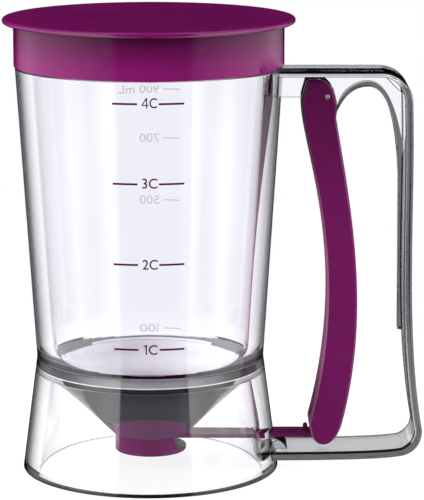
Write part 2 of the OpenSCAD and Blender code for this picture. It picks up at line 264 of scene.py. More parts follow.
def inset(points, distance):
    """A closed outline moved inwards by distance along its mitres."""
    sharpest = 0.35
    sign = 1 if area(points) > 0 else -1
    moved = []
    for i, point in enumerate(points):
        here = Vector(point)
        d1 = (here - Vector(points[i - 1])).normalized()
        d2 = (Vector(points[(i + 1) % len(points)]) - here).normalized()
        n1 = Vector((-d1.y, d1.x)) * sign
        mitre = n1 + Vector((-d2.y, d2.x)) * sign
        if mitre.length < 1e-6:
            moved.append(tuple(here))
            continue
        mitre.normalize()
        scale = 1 / max(sharpest, mitre.dot(n1))
        moved.append(tuple(here + mitre * distance * scale))
    return moved


# ---- meshes ----

def put_in(name, data):
    """Puts a mesh, a text, a lamp or a camera into the scene."""
    made = bpy.data.objects.new(name, data)
    bpy.context.scene.collection.objects.link(made)
    return made


def remove(piece):
    """Removes a piece and its mesh."""
    mesh = piece.data
    bpy.data.objects.remove(piece)
    bpy.data.meshes.remove(mesh)


def piece_from(name, bm):
    """An object from a bmesh drawn in millimetres."""
    bmesh.ops.recalc_face_normals(bm, faces=bm.faces)
    bm.transform(Matrix.Scale(MM, 4))
    mesh = bpy.data.meshes.new(name)
    bm.to_mesh(mesh)
    bm.free()
    return put_in(name, mesh)


def skin(bm, rings, closed=False):
    """Faces from each ring of vertices to the next. A ring of one vertex is a pole."""
    pairs = list(zip(rings, rings[1:]))
    if closed:
        pairs.append((rings[-1], rings[0]))
    for a, b in pairs:
        count = max(len(a), len(b))
        for k in range(count):
            n = (k + 1) % count
            if len(a) == 1:
                bm.faces.new((a[0], b[k], b[n]))
            elif len(b) == 1:
                bm.faces.new((a[k], a[n], b[0]))
            else:
                bm.faces.new((a[k], a[n], b[n], b[k]))


def tube(bm, rings):
    """Skin over rings with a face at each end, which it returns."""
    skin(bm, rings)
    return [bm.faces.new(rings[0]), bm.faces.new(rings[-1])]


def lathe(name, profile, segments=ROUND):
    """A solid of revolution. The profile is a closed loop of (r, z), or runs from axis to axis."""
    bm = bmesh.new()
    rings = []
    for r, z in profile:
        count = segments if r > 1e-6 else 1
        turns = [2 * pi * k / segments for k in range(count)]
        rings.append([bm.verts.new((r * cos(a), r * sin(a), z)) for a in turns])
    skin(bm, rings, closed=len(rings[0]) > 1 or len(rings[-1]) > 1)
    return piece_from(name, bm)


def plate(name, outline, y0, y1, edge=0, steps=4):
    """An XZ outline drawn out along Y from y0 to y1, its long edges rounded by edge."""
    outline = thin(outline)
    rings = [(y0, 0), (y1, 0)]
    if edge:
        turns = [pi / 2 * k / steps for k in range(steps + 1)]
        rings = [(y0 + edge * (1 - cos(a)), edge * (1 - sin(a))) for a in turns]
        rings += [(y1 - edge * (1 - sin(a)), edge * (1 - cos(a))) for a in turns]
    bm = bmesh.new()
    loops = []
    for y, distance in rings:
        points = inset(outline, distance) if distance > 1e-6 else outline
        loops.append([bm.verts.new((x, y, z)) for x, z in points])
    ends = tube(bm, loops)
    bm.normal_update()
    bmesh.ops.triangulate(bm, faces=ends, ngon_method="EAR_CLIP")
    return piece_from(name, bm)


def block(half, x0, x1, z0, z1):
    """A box for cuts, from -half to half along Y."""
    return plate("block", [(x0, z0), (x1, z0), (x1, z1), (x0, z1)], -half, half)


def rod(name, x, z, radius, y0, y1, edge=0):
    """A round rod along Y."""
    return plate(name, arc((x, z), radius, radius, 0, 360, 64), y0, y1, edge)


def final_mesh(piece):
    """The mesh that a text or a piece with modifiers ends up as."""
    graph = bpy.context.evaluated_depsgraph_get()
    return bpy.data.meshes.new_from_object(piece.evaluated_get(graph))


def settle(piece):
    """Applies a piece's modifiers to its mesh."""
    old = piece.data
    piece.data = final_mesh(piece)
    piece.modifiers.clear()
    bpy.data.meshes.remove(old)


def combine(piece, operation, *others):
    """Joins other solids to a piece, or cuts them from it, and removes them."""
    for other in others:
        change = piece.modifiers.new("combine", "BOOLEAN")
        change.object = other
        change.operation = operation
        change.solver = "MANIFOLD"
        settle(piece)
        remove(other)


def smooth(piece, angle=32):
    """Shades a piece smooth up to an angle, with its large faces kept flat."""
    for face in piece.data.polygons:
        face.use_smooth = True
    piece.data.set_sharp_from_angle(angle=radians(angle))
    weigh = piece.modifiers.new("weigh", "WEIGHTED_NORMAL")
    weigh.keep_sharp = True
    weigh.weight = 60
    settle(piece)


def coat(piece, material):
    """Gives a piece one material for all of its faces."""
    piece.data.materials.clear()
    piece.data.materials.append(material)


def finish(piece, body, material, cad_node):
    """Smooths a piece, gives it its material and body, and hides the node it stands for."""
    smooth(piece)
    coat(piece, material)
    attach(piece, body)
    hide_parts(cad_node)


def paint(piece, *finishes):
    """Finishes for some of a piece's faces. Later ones cover earlier ones.

    Each names its faces by a function of their middle, in millimetres, and their normal.
    """
    for material, wanted in finishes:
        piece.data.materials.append(material)
        index = len(piece.data.materials) - 1
        for face in piece.data.polygons:
            if wanted(face.center / MM, face.normal):
                face.material_index = index


def inward(at, normal):
    """Whether a face looks towards the jug's axis."""
    return normal.xy.dot(at.xy) < -0.01


# ---- shader nodes ----

def new_material(name):
    """An empty node material and its tree."""
    material = bpy.data.materials.new(name)
    material.use_nodes = True
    material.node_tree.nodes.clear()
    return material, material.node_tree


def node(tree, kind, inputs=None, **settings):
    """A shader node with its settings. Each input given is a socket to link, or a value."""
    made = tree.nodes.new("ShaderNode" + kind)
    for key, value in settings.items():
        setattr(made, key, value)
    for key, source in (inputs or {}).items():
        if isinstance(source, bpy.types.NodeSocket):
            tree.links.new(source, made.inputs[key])
        else:
            made.inputs[key].default_value = source
    return made


def set_surface(tree, surface):
    """Makes a shader the surface of its material."""
    node(tree, "OutputMaterial", {"Surface": surface})


def own_place(tree):
    """Coordinates of a point on its piece."""
    return node(tree, "TexCoord").outputs["Object"]


def noise(tree, scale, detail):
    """Noise over a piece's own coordinates."""
    return node(tree, "TexNoise", {"Vector": own_place(tree), "Scale": scale,
                                   "Detail": detail}).outputs["Fac"]


def along(tree, axis):
    """How far a point lies along an axis, 0 to 2. X is taken without its sign."""
    part = node(tree, "SeparateXYZ", {0: own_place(tree)}).outputs[axis]
    return maths(tree, "ABSOLUTE", part) if axis == 0 else part


def maths(tree, operation, *terms):
    """A sum on sockets and values."""
    return node(tree, "Math", dict(enumerate(terms)), operation=operation).outputs[0]


def range_of(tree, source, start, end, first=0.0, last=1.0, kind="LINEAR"):
    """A value that runs from first to last while the source runs from start to end."""
    return node(tree, "MapRange", {
        "Value": source, "From Min": start, "From Max": end, "To Min": first, "To Max": last,
    }, interpolation_type=kind).outputs["Result"]


def step_of(tree, source, start, end, first=0.0, last=1.0):
    """The same as range_of, with soft ends."""
    return range_of(tree, source, start, end, first, last, "SMOOTHSTEP")


def spread(tree, grain, first=0.0, last=1.0):
    """Noise, most of which lies between 0.35 and 0.65, spread over a range."""
    return range_of(tree, grain, 0.35, 0.65, first, last)


def ramp_of(tree, source, stops):
    """Grey ramp over a value of 0 to 1."""
    made = node(tree, "ValToRGB", {0: source})
    elements = made.color_ramp.elements
    while len(elements) < len(stops):
        elements.new(0.5)
    for element, (position, value) in zip(elements, stops):
        element.position = position
        element.color = (value, value, value, 1)
    return made.outputs[0]


def mix_colours(tree, share, first, second):
    return node(tree, "Mix", {0: share, 6: first, 7: second}, data_type="RGBA").outputs[2]


def mix_shaders(tree, share, first, second):
    return node(tree, "MixShader", {0: share, 1: first, 2: second}).outputs[0]


def bump(tree, height, strength, distance):
    return node(tree, "Bump", {"Height": height, "Strength": strength,
                               "Distance": distance}).outputs["Normal"]


def rays(tree, *kinds):
    """1 for rays of the kinds named, 0 for others."""
    path = node(tree, "LightPath").outputs
    chosen = [path[f"Is {kind} Ray"] for kind in kinds]
    return maths(tree, "MAXIMUM", *chosen) if len(chosen) > 1 else chosen[0]


def principled(tree, inputs):
    """The shader that most materials use."""
    return node(tree, "BsdfPrincipled", inputs).outputs[0]


def linear(colour):
    """Linear colour from display values of 0 to 255."""
    return *(((c / 255) / 12.92 if c <= 10 else ((c / 255 + 0.055) / 1.055) ** 2.4)
             for c in colour), 1


# ---- materials ----

def clear_plastic(name, tint, roughness=0.02, ior=1.5, start=0.49, full=0.77, rim=0.05,
                  specular=0.5):
    """Clear moulded plastic: faint flow waves, edges that darken, and lamps shine through it.

    Its tint turns to the grey of rim as the surface turns away, from start to full: a painted
    shade that stands for the dark edges clear plastic shows.
    """
    shadow = (0.92, 0.92, 0.92, 1)
    material, tree = new_material(name)
    slant = node(tree, "LayerWeight", {"Blend": 0.5}).outputs["Facing"]
    shader = principled(tree, {
        "Base Color": mix_colours(tree, step_of(tree, slant, start, full), (*tint, 1),
                                  (rim, rim, rim * 1.04, 1)),
        "Roughness": spread(tree, noise(tree, 260, 4), roughness * 0.6, roughness * 1.4),
        "Normal": bump(tree, noise(tree, 45, 2), 0.05, 0.0004),
        "IOR": ior,
        "Specular IOR Level": specular,
        "Transmission Weight": 1,
    })
    passing = node(tree, "BsdfTransparent", {"Color": shadow})
    set_surface(tree, mix_shaders(tree, rays(tree, "Shadow", "Diffuse"), shader,
                                  passing.outputs[0]))
    return material


def reflection_streaked_plastic(name, half_width, stops):
    """Clear plastic with painted reflection streaks: its tone changes across it, along Y."""
    material, tree = new_material(name)
    across = range_of(tree, along(tree, 1), -half_width * MM, half_width * MM)
    set_surface(tree, principled(tree, {
        "Base Color": ramp_of(tree, across, stops),
        "Roughness": spread(tree, noise(tree, 260, 4), 0.015, 0.03),
        "IOR": 1.5,
        "Transmission Weight": 1,
    }))
    return material


def gloss_plastic(name, colour, deep, roughness=0.3, specular=0.1, shade=None, patch=None):
    """Glossy moulded plastic: slight flow of colour, moulding waviness and fine handling haze.

    shade names an axis, two distances along it in millimetres between which painted shade
    darkens the colour, and how deep it gets. patch names a painted colour that stands for
    what shines through from behind, with its half width, its height on the axis and its
    slope towards -Y.
    """
    soft = 0.4
    material, tree = new_material(name)
    pigment_and_shade = mix_colours(tree, spread(tree, noise(tree, 22, 2)), linear(deep), linear(colour))
    # painted shade along an axis
    if shade:
        axis, start, end, deepest = shade
        pigment_and_shade = node(tree, "VectorMath", {
            0: pigment_and_shade,
            "Scale": step_of(tree, along(tree, axis), start * MM, end * MM, 1, deepest),
        }, operation="SCALE").outputs[0]
    # painted see-through colour in a patch
    if patch:
        through, half_width, height, slope = patch
        level = maths(tree, "MULTIPLY_ADD", along(tree, 1), slope, along(tree, 2))
        within = [step_of(tree, value, (edge - soft) * MM, (edge + soft) * MM, 1, 0)
                  for value, edge in ((along(tree, 0), half_width), (level, height))]
        pigment_and_shade = mix_colours(tree, maths(tree, "MULTIPLY", *within), pigment_and_shade, linear(through))
    set_surface(tree, principled(tree, {
        "Base Color": pigment_and_shade,
        "Roughness": spread(tree, noise(tree, 190, 5), roughness * 0.8, roughness * 1.25),
        "Normal": bump(tree, noise(tree, 70, 3), 0.08, 0.0003),
        "Specular IOR Level": specular,
    }))
    return material


def metal(name, colour, roughness):
    """Bright steel with fine drawing lines."""
    material, tree = new_material(name)
    lines = noise(tree, 900, 2)
    set_surface(tree, principled(tree, {
        "Base Color": (*colour, 1),
        "Roughness": spread(tree, lines, roughness * 0.7, roughness * 1.3),
        "Normal": bump(tree, lines, 0.15, 0.00005),
        "Metallic": 1,
    }))
    return material


def print_ink(name, colour, cover=1):
    """Screen-printed ink with slightly uneven cover."""
    material, tree = new_material(name)
    full = linear(colour)
    grain = noise(tree, 700, 3)
    set_surface(tree, principled(tree, {
        "Base Color": mix_colours(tree, spread(tree, grain), (*[c * 0.9 for c in full[:3]], 1),
                                  full),
        "Roughness": spread(tree, grain, 0.36, 0.54),
        "Specular IOR Level": 0.1,
        "Alpha": cover,
    }))
    return material


CLEAR_TINT = (0.975, 0.972, 0.99)
CLEAR = clear_plastic("clear_plastic", CLEAR_TINT, 0.015)
CLEAR_INSIDE = clear_plastic("clear_inside", CLEAR_TINT, 0.015, start=0.65, full=0.97, rim=0.5)
CLEAR_LOW = clear_plastic("clear_low", CLEAR_TINT, 0.015, specular=0.1)
STRAIGHT = clear_plastic("clear_bend", CLEAR_TINT, 0.015, ior=1.001, start=0.9, full=1, rim=0.8)
HANDLE_CLEAR = clear_plastic("handle_plastic", (0.965, 0.965, 0.97), start=0.9, full=1, rim=0.6)
# HANDLE_FLOOR to HANDLE_GREY are painted shade and painted reflection: grey and dark tints, the
# top's streaks and dark lines along the clear edges.
HANDLE_FLOOR = clear_plastic("handle_floor", (0.52, 0.52, 0.54), start=0.9, full=1, rim=0.45)
HANDLE_EDGE = clear_plastic("handle_edge", (0.15, 0.15, 0.156))
HANDLE_INNER = clear_plastic("handle_inner", (0.42, 0.42, 0.43))
HANDLE_BAND = clear_plastic("handle_band", (0.17, 0.17, 0.175))
HANDLE_LOW = clear_plastic("handle_low", (0.68, 0.68, 0.69))
HANDLE_TOP = reflection_streaked_plastic("handle_top", handle_w / 2, [
    (0, 0), (0.12, 0), (0.17, 0.05), (0.3, 0.06), (0.33, 0), (0.42, 0), (0.5, 0.12),
    (0.58, 1), (0.72, 0.5), (0.84, 0.95), (1, 1)])
HANDLE_LINE = gloss_plastic("handle_line", (24, 24, 26), (16, 16, 18))
HANDLE_GREY = gloss_plastic("handle_grey", (72, 72, 76), (64, 64, 68))
SMOKE = gloss_plastic("smoke_plastic", (84, 84, 89), (76, 76, 81), 0.12, 0.5)
# painted light: the funnel's inside is near white, standing for the light that shows through it
SMOKE_INSIDE = gloss_plastic("smoke_inside", (248, 246, 253), (243, 241, 250), specular=0.5)
# painted shade darkens the cone towards its top, and a painted purple patch low in front stands for
# the purple parts seen through it
CONE = gloss_plastic("smoke_cone", (79, 79, 84), (71, 71, 76), 0.12, 0.12,
                     shade=(2, 30, 43, 0.4), patch=((130, 78, 120), 15, 15, 0.41))
# painted shade: the flange's grey darkens towards the sides
FLANGE = gloss_plastic("smoke_flange", (162, 162, 168), (154, 154, 160), shade=(0, 8, 34, 0.16))
# painted see-through greys: LOBE for the funnel's flange seen through the bowl's back, JOINT for
# the funnel seen through the front joint
LOBE = gloss_plastic("smoke_lobe", (138, 139, 145), (130, 131, 137))
JOINT = gloss_plastic("smoke_joint", (150, 150, 155), (142, 142, 147))
# painted light: a faint grey shade line on the funnel's lip, a highlight line under the flange,
# seat sides paler with painted reflection, and a painted shadow line along the foot
RIM_LINE = gloss_plastic("rim_line", (196, 196, 208), (188, 188, 200))
SEAT_LINE = gloss_plastic("seat_line", (250, 250, 252), (240, 240, 243), specular=0.5)
SEAT_SIDE = gloss_plastic("seat_side", (205, 205, 210), (196, 196, 201), specular=0.2)
FOOT_LINE = gloss_plastic("foot_line", (16, 16, 17), (11, 11, 12), specular=0.5)
LID_PURPLE = gloss_plastic("lid_purple", (118, 22, 94), (108, 18, 86), 0.1, 0.5)
# painted: the skirt is a lighter copy of the lid's purple, darkened under the disc by painted shade
SKIRT_PURPLE = gloss_plastic("skirt_purple", (131, 20, 104), (121, 17, 95), 0.12, 0.5,
                             shade=(2, lid_under - 17, lid_under + 1, 0.35))
CAP_PURPLE = gloss_plastic("cap_purple", (110, 10, 88), (100, 8, 80), 0.2, 0.12)
CAP_SHADOW = gloss_plastic("cap_shadow", (58, 8, 44), (48, 6, 36))
VALVE_PURPLE = gloss_plastic("valve_purple", (112, 24, 90), (102, 20, 82), 0.35, 0.2)
# painted shade darkens the lever towards its top; LEVER_SIDE is a painted highlight on one side
LEVER_PURPLE = gloss_plastic("lever_purple", (112, 22, 90), (108, 20, 86), 0.2, 0.3,
                             shade=(2, 90, 175, 0.68))
LEVER_SIDE = gloss_plastic("lever_side", (156, 92, 132), (148, 86, 124), specular=0.2,
                           shade=(2, 75, 165, 0.12))
STEEL = metal("steel", (0.8, 0.8, 0.82), 0.5)
SILICONE = gloss_plastic("silicone", (214, 214, 216), (204, 204, 207), 0.5, 0.35)
CUP_INK = print_ink("cup_ink", (78, 0, 60))
ML_INK = print_ink("ml_ink", (206, 196, 210), cover=0.32)


# ---- jug and stand ----

def build_jug():
    rim_round = 1.2
    lobe_h = 3.4
    lobe_fall = 0.0945      # the lobes lie lower towards the back
    ledge_y = 4
    ledge_h = 0.5
    ledge_rise = 0.03
    cap_reflection_x = 14
    bend_top = waist_z + bowl_h
    mouth_r = ledge_r + 0.4
    jug = lathe("jug_shell", rounded([
        (seat_in - bond, spigot_z, 0.15),
        (seat_in - bond, waist_z, 0.1),
        (waist_r, waist_z, 0.25),
        (waist_r + taper * bowl_h, bend_top),
        (shoulder_r, shoulder_z, 0.35),
        (neck_r, shoulder_z, 0.3),
        (neck_r, rim_z, rim_round),
        (bore_r, rim_z, rim_round),
        (bore_r, shoulder_z, 60),
        *bend((waist_in + taper * bowl_h, bend_top),
              (waist_in + taper * bowl_h * 0.5, waist_z + bowl_h * 0.5),
              (mouth_r + 2, waist_z + bowl_h * 0.2), (mouth_r, spigot_z)),
    ]))
    finish(jug, "jug", CLEAR, "container")

    # painted see-through: the joint and the ledge are painted with the funnel that lies against
    # them,
    #     the back of the joint painted pale for the light seen through it, grey lobes painted for
    #     the flange seen through the bowl's back, and a painted reflection of the cap in the
    #     ledge's middle
    def on_joint(at, n):
        return n.z < -0.5 and at.y > 0 and at.z < spigot_z + 0.1

    def on_ledge(at, n):
        ledge_top = waist_z + ledge_h + ledge_rise * abs(at.x)
        return inward(at, n) and at.y < ledge_y and at.z < ledge_top

    paint(jug,
          (CLEAR_INSIDE, inward),
          (STRAIGHT, lambda at, n: at.z < bend_top and at.y > 0),
          (LOBE, lambda at, n: (
              inward(at, n) and at.y > 0 and at.z + lobe_fall * at.y < waist_z + lobe_h)),
          (JOINT, lambda at, n: n.z < -0.5 and at.z < waist_z + 0.2 and at.y < 0),
          (SMOKE_INSIDE, on_joint),
          (LOBE, lambda at, n: on_joint(at, n) and abs(at.x) > lobe_x),
          (SMOKE, on_ledge),
          (CAP_SHADOW, lambda at, n: on_ledge(at, n) and abs(at.x) < cap_reflection_x))


def build_stand():
    line_h = 0.32           # painted highlight: a pale line under the funnel's flange
    foot_line_h = 1.2       # painted contact shadow: a dark line round the foot
    low_z = 20              # below it the front is less glossy
    front_y = 10            # before it the seat is painted with the funnel
    guide_h = 2.4           # step on which the strip slides
    guide_low = 3
    guide_in = foot_in - 3.5
    guide_out = foot_r - flare * guide_top - 1
    guide_half = strip_w / 2 + 2
    bead_z = flange_low - bond
    bead_r = flange_r - seat_lip + bond
    seat_shift = cone_shift + 2 * bond
    seat_z = (waist_in + flare * waist_z - seat_shift) / (1 + flare)
    stand = lathe("stand_skirt", rounded([
        (waist_r, waist_z - bond, 0.25),
        (seat_in, waist_z - bond, 0.1),
        (seat_in, bead_z + line_h),
        (seat_in, bead_z, 0.05),
        (bead_r, bead_z),
        (bead_r - line_h, bead_z - line_h),
        (seat_z + seat_shift, seat_z, 0.8),
        (foot_in, 0, 0.3),
        (foot_r, 0, 0.4),
        (foot_r - flare * foot_line_h, foot_line_h),
        (foot_r - flare * low_z, low_z),
    ]))
    guide = [(guide_in, guide_top), (guide_in, guide_top - guide_h), (foot_in, guide_low),
             (guide_out, guide_low), (guide_out, guide_top)]
    combine(stand, "UNION", plate("guide", guide, -guide_half, guide_half, 0.4))
    combine(stand, "DIFFERENCE", block(slot_half, foot_in - 6, foot_r + 1, guide_top, slot_high))
    finish(stand, "jug", CLEAR, "base_skirt")

    # the seat is painted with the funnel that lies against it: the cone in the middle, its sides
    # paler
    #     with painted reflection; the flange's wall gets painted shade towards the sides, and a
    #     painted highlight line runs under the flange
    def on_seat(at, n):
        return (n.z > 0.5 and inward(at, n) and at.y < front_y
                and seat_z * 0.98 < at.z < bead_z + 0.1)

    def on_flange(at, n):
        return inward(at, n) and at.z > bead_z and n.z < 0.5 and at.y < front_y

    paint(stand,
          (CLEAR_INSIDE, inward),
          (CLEAR_LOW, lambda at, n: at.z < low_z and at.y < -0.7 * foot_in and not inward(at, n)),
          (FOOT_LINE, lambda at, n: at.z < foot_line_h - 0.05 and at.y < 0 and not inward(at, n)),
          (STRAIGHT, lambda at, n: at.z > bead_z and at.y > front_y),
          (SEAT_SIDE, on_seat),
          (CONE, lambda at, n: on_seat(at, n) and at.y < -0.6 * seat_in),
          (FLANGE, on_flange),
          (SEAT_LINE, lambda at, n: (
              (on_seat(at, n) or on_flange(at, n)) and abs(at.z - bead_z) < line_h)))


# ---- lid, funnel, cap and valve ----

def build_lid():
    skirt_in = neck_r + lid_gap
    plug_r = bore_r - lid_gap
    plug_low = lid_under - lid_plug_h
    rim_round = (lid_top - lid_under) / 2 * 0.98
    lid = lathe("lid_cap", rounded([
        (0, lid_under),
        (plug_r - lid_plug_t, lid_under, 0.4),
        (plug_r - lid_plug_t, plug_low, 0.5),
        (plug_r, plug_low, 0.5),
        (plug_r, lid_under, 0.2),
        (skirt_in, lid_under, 0.2),
        (skirt_in, lid_low, 0.3),
        (lid_skirt_r, lid_low, 0.45),
        (lid_skirt_r, lid_under, 0.5),
        (lid_r, lid_under, rim_round),
        (lid_r, lid_top, rim_round),
        (lid_r - 3.5, lid_top, 4),
        (0, lid_top),
    ], 8))
    finish(lid, "lid", LID_PURPLE, "lid")
    # the skirt's upright faces get a lighter copy of the purple, with painted shade under the disc
    paint(lid, (SKIRT_PURPLE, lambda at, n: abs(n.z) < 0.5 and at.z < lid_under))


def build_funnel():
    line_h = 0.25
    lip_z = flange_top - 1.2
    inner_shift = cone_shift - cone_wall
    funnel = lathe("funnel_cone", rounded([
        (outlet_r, funnel_floor, 0.2),
        (funnel_floor + cone_shift, funnel_floor, 0.3),
        (flange_r - seat_lip, flange_low, 0.2),
        (flange_r, flange_low, 0.1),
        (flange_r, flange_top, 0.3),
        (ledge_r, flange_top, 0.8),
        (ledge_r, lip_z + line_h),
        (ledge_r, lip_z),
        (ledge_r, ledge_r - inner_shift, 1.5),
        (floor_top + inner_shift, floor_top, 1),
        (outlet_r, floor_top, 0.4),
    ]))
    spout = lathe("spout", [(spout_r - spout_t, spout_low), (spout_r, spout_low),
                            (spout_r, funnel_floor + 0.5), (spout_r - spout_t, funnel_floor + 0.5)])
    combine(funnel, "UNION", spout)
    combine(funnel, "DIFFERENCE", block(window_half, 0, 100, 0, funnel_floor))
    finish(funnel, "jug", CONE, "funnel")

    def on_lip(at, n):
        return inward(at, n) and at.y > 0 and at.z > lip_z

    # the cone's outside keeps CONE's painted shade and see-through patch; its inside is painted
    # pale for the light seen through it, and the back of the lip gets a painted shade line and grey
    # lobes
    paint(funnel,
          (SMOKE, lambda at, n: at.z > flange_low + 0.1),
          (SMOKE_INSIDE, inward),
          (RIM_LINE, lambda at, n: on_lip(at, n) and at.z < lip_z + line_h),
          (LOBE, lambda at, n: on_lip(at, n) and abs(at.x) > lobe_x))


def build_cap():
    floor_z = cap_z + cap_floor
    cap = lathe("nozzle_cup", rounded([
        (cap_r - cap_wall, floor_z, 0.4),
        (cap_r - cap_wall, cap_top, 0.2),
        (cap_r, cap_top, 0.3),
        (cap_r, cap_z, 0.6),
        (outlet_r, cap_z, 0.4),
        (outlet_r, seat_top, 0.15),
        (outlet_r + seat_w, seat_top, 0.15),
        (outlet_r + seat_w, floor_z, 0.3),
    ]))
    combine(cap, "DIFFERENCE", block(window_half, 0, 100, floor_z, 40))
    finish(cap, "jug", CAP_PURPLE, "nozzle_cap")
    paint(cap, (CAP_SHADOW, lambda at, n: inward(at, n) or at.xy.length < cap_r - 0.1))


def build_valve():
    end_r = 2
    edge = 0.25
    half = strip_w / 2
    valve = lathe("valve_strip", [
        (0, valve_low),
        *arc((valve_r - edge, valve_low + edge), edge, edge, 270, 360, EDGE),
        *arc((valve_r - edge, valve_top - edge), edge, edge, 0, 90, EDGE),
        (0, valve_top),
    ])
    ends = [(0, -half), (strip_end, -half, end_r), (strip_end, half, end_r), (0, half)]
    strip = plate("strip", rounded(ends, 10), valve_low, valve_top, edge)
    strip.data.transform(Matrix.Rotation(radians(90), 4, "X"))
    combine(valve, "UNION", strip)
    for x in (peg_near, peg_far):
        peg = lathe("peg", [
            (0, valve_top - 0.5),
            (peg_r, valve_top - 0.5),
            *arc((0, valve_top + peg_h - peg_r), peg_r, peg_r, 0, 90, 8),
        ], 48)
        peg.data.transform(Matrix.Translation((x * MM, 0, 0)))
        combine(valve, "UNION", peg)
    finish(valve, "valve", VALVE_PURPLE, "valve_slide")


# ---- handle ----

def handle_line(top, grip, arm):
    """Outline of the D, inset by its thickness at the top, the grip and the arm."""
    centre = (grip_x - corner_r, handle_top - corner_r)
    lowest = (grip_x + foot_sweep - grip, grip_low)
    turn = (grip_x - 3.4, arm_z + 2 + arm)
    side = [mix(centre[1], grip_low, t) for t in (0.33, 0.68)]
    return [
        (waist_in, handle_top - top),
        *arc(centre, corner_r - grip, corner_r - top, 90, 0, 16),
        *bend((grip_x - grip, centre[1]), (grip_x + 1.6 - grip, side[0]),
              (grip_x - 2.4 - grip, side[1]), lowest, 32),
        *bend(lowest, add(lowest, 0.4, -5.5 + arm / 2), add(turn, 6 - grip, 0.9), turn, 14),
        *bend(turn, add(turn, -7, -1.2), (mix(waist_r, grip_x, 0.62), arm_z + 0.2 + arm),
              (waist_in, arm_z + arm), 12),
    ]


def handle_inside():
    """Outlines of the web, with the arch and the rib as its edge, and of the band along them."""
    arch_foot = (pivot_x + 4.1, pivot_z - 7.3)
    arch_top = (mix(pivot_x, grip_x, 0.49), handle_top - top_t - 5)
    rib_face = grip_x + 0.7 - grip_t - rib_t
    rib_root = grip_x - grip_t * 0.3
    arch_end = (rib_face - 0.2, mix(grip_low, handle_top, 0.7))
    arch = [
        *bend(arch_foot, add(arch_foot, 3.1, 6.8), add(arch_top, -6.2, 0), arch_top, 16),
        *bend(arch_top, add(arch_top, 9.5, 0), add(arch_end, -0.8, 17), arch_end, 24),
        (rib_face + 0.2, rib_z),
    ]
    band_top = add(arch_top, 0, band_t)
    band = [
        *bend(add(arch_foot, 0.4, 2.6), add(arch_foot, 1.6, 7.6), add(band_top, -6.6, 0),
              band_top, 16),
        *bend(band_top, add(band_top, 10.5, 0), add(arch_end, band_t - 0.8, 20),
              (rib_root, arch_end[1] - 4), 24),
        (rib_root, rib_z),
    ]
    web = [
        (waist_in, handle_top - top_t / 2),
        (waist_in, web_low),
        (pivot_x, web_low),
        add(arch_foot, -3, 2.4),
        *arch,
        (rib_root, rib_z),
        (rib_root, handle_top - corner_r),
        (grip_x - corner_r, handle_top - top_t / 2),
    ]
    return web, arch + band[::-1]


def build_handle():
    """The handle, cut to the outside of jug and stand."""
    boss_half = web_t / 2 + 0.01
    stud_x = pivot_x - 4.5 - bond
    stud_z = pivot_z + 4.6
    gusset_x = foot_r - 2.6
    gusset_z = arm_z + 1
    gusset_half = strip_w / 2 + 1
    outline = handle_line(0, 0, 0) + handle_line(top_t, grip_t, arm_t)[::-1]
    handle = plate("handle_d", outline, -handle_w / 2, handle_w / 2, 1.05, 8)
    web, band = handle_inside()
    gusset = [
        (gusset_x - 4, gusset_z),
        *arc((gusset_x, gusset_z), 7, guide_top - gusset_z, 0, 90, 16),
        (gusset_x - 4, guide_top),
    ]
    combine(handle, "UNION",
            plate("web", web, -web_t / 2, web_t / 2, 0.3),
            plate("band", band, -band_w / 2, band_w / 2, 0.5),
            rod("boss", pivot_x, pivot_z, boss_r, -boss_half, boss_half, 0.3),
            rod("stud", stud_x, stud_z, 1, 0, spring_high.y, 0.2),
            plate("gusset", gusset, -gusset_half, gusset_half, 0.4))
    envelope = lathe("envelope", [
        (0, -1),
        (foot_r + flare + bond, -1),
        (waist_r + bond, waist_z),
        (shoulder_r + bond, shoulder_z),
        (0, shoulder_z),
    ])
    combine(handle, "DIFFERENCE",
            envelope,
            rod("bore", pivot_x, pivot_z, pin_r + pin_gap, -20, 20),
            block(slot_half, waist_in, foot_r + 10, guide_top, slot_high))
    finish(handle, "jug", HANDLE_CLEAR, "handle_frame")
    paint_handle(handle)


def paint_handle(handle):
    """Painted shade makes the handle's edges darker than its faces, and its inner edges are painted
    paler.
    """
    middle_x = mix(waist_r, grip_x, 0.5)
    middle_z = mix(arm_z, handle_top, 0.5)
    edge_y = handle_w / 2 - 1.04
    low_z = arm_z + 8
    high_z = handle_top - 6
    grey_z = handle_top - 28

    def on_edge(at, n):
        return abs(at.y) > edge_y and abs(n.y) > 0.05

    def inwards(at, n):
        """How far a face looks towards the inside of the D."""
        along_x = (at.x - middle_x) / (grip_x - middle_x)
        along_z = (at.z - middle_z) / (handle_top - middle_z)
        return -n.dot(Vector((along_x ** 5, 0, along_z ** 5)).normalized())

    def on_inner(at, n):
        return on_edge(at, n) and inwards(at, n) > 0.05

    def on_line(at, n):
        return on_edge(at, n) and at.y < 0 and inwards(at, n) > (0.1 if at.z < low_z else 0.72)

    def on_knuckle(at, n):
        return (at.x < foot_r + 6 and abs(at.y) < strip_w / 2 + 1.1 and at.z < guide_top
                and n.x > 0.3)

    # painted reflection streaks on the top, and painted shade: grey tints, dark lines along the
    # edges and on the knuckle
    paint(handle,
          (HANDLE_TOP, lambda at, n: at.z > handle_top - corner_r and n.z > 0.3),
          (HANDLE_FLOOR, lambda at, n: at.z < low_z and n.z > 0.5 and abs(at.y) < edge_y),
          (HANDLE_BAND, lambda at, n: (
              abs(n.y) > 0.5 and web_t / 2 + 0.1 < abs(at.y) < band_w / 2 + 0.1)),
          (HANDLE_EDGE, lambda at, n: on_edge(at, n) and at.z < high_z),
          (HANDLE_INNER, lambda at, n: on_inner(at, n) and low_z < at.z < high_z),
          (HANDLE_LOW, lambda at, n: on_inner(at, n) and low_z < at.z < rib_z),
          (HANDLE_LINE, on_line),
          (HANDLE_GREY, lambda at, n: on_line(at, n) and low_z < at.z < grey_z),
          (HANDLE_LINE, on_knuckle))


# ---- lever and spring ----

def lever_points(*shares):
    """Points set out from the hinge pin, as shares of the lever's depth and length."""
    return [(pivot_x + across * lever_depth, pivot_z - down * lever_len)
            for across, down in shares]


